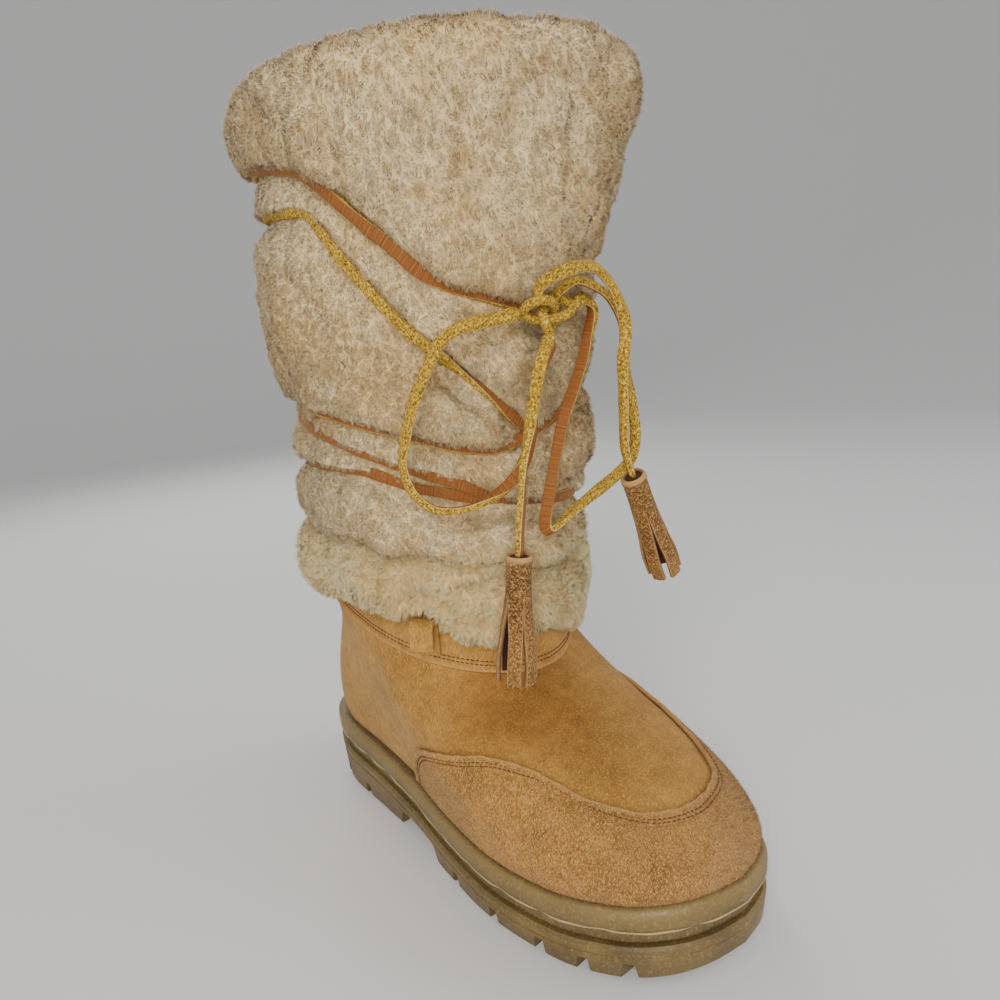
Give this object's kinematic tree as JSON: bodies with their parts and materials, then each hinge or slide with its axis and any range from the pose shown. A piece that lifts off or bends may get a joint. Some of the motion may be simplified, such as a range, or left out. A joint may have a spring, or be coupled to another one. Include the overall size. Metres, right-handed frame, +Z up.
{
  "type": "winter boot",
  "caption": "Suede winter boot with a lugged rubber sole, winged toe cap and tall shearling shaft tied round with a tasselled leather lace.",
  "frame": {"origin": "middle of the bounding box on the ground, without the free lace", "axes": "+Z up out of the shaft, toe towards -Y, inner side of the right foot towards +X"},
  "size_m": [0.1441, 0.2904, 0.34],
  "materials": {
    "suede": "napped wheat suede",
    "cap_suede": "worn suede with loose pale fibres",
    "shearling": "dense cream sheepskin pile",
    "lace_leather": "mustard suede thong, russet on its smooth side",
    "tassel_suede": "dusty tan suede, dark inside the slits",
    "sole_rubber": "matt khaki rubber",
    "footbed": "short wool pile"
  },
  "bodies": {
    "root": {"outsole": "sole_rubber", "midsole": "sole_rubber", "welt": "sole_rubber", "insole": "footbed", "upper": "suede", "toe_cap": "cap_suede", "ankle_band": "suede", "shaft": "shearling", "lace_wraps": "lace_leather", "back_keeper": "suede", "lace_tab": "suede", "lace_knot": "lace_leather", "bow_loop_left": "lace_leather", "bow_loop_right": "lace_leather", "lace_end_left": "lace_leather", "lace_end_right": "lace_leather", "tassel_left": "tassel_suede", "tassel_right": "tassel_suede"}
  },
  "joints": []
}
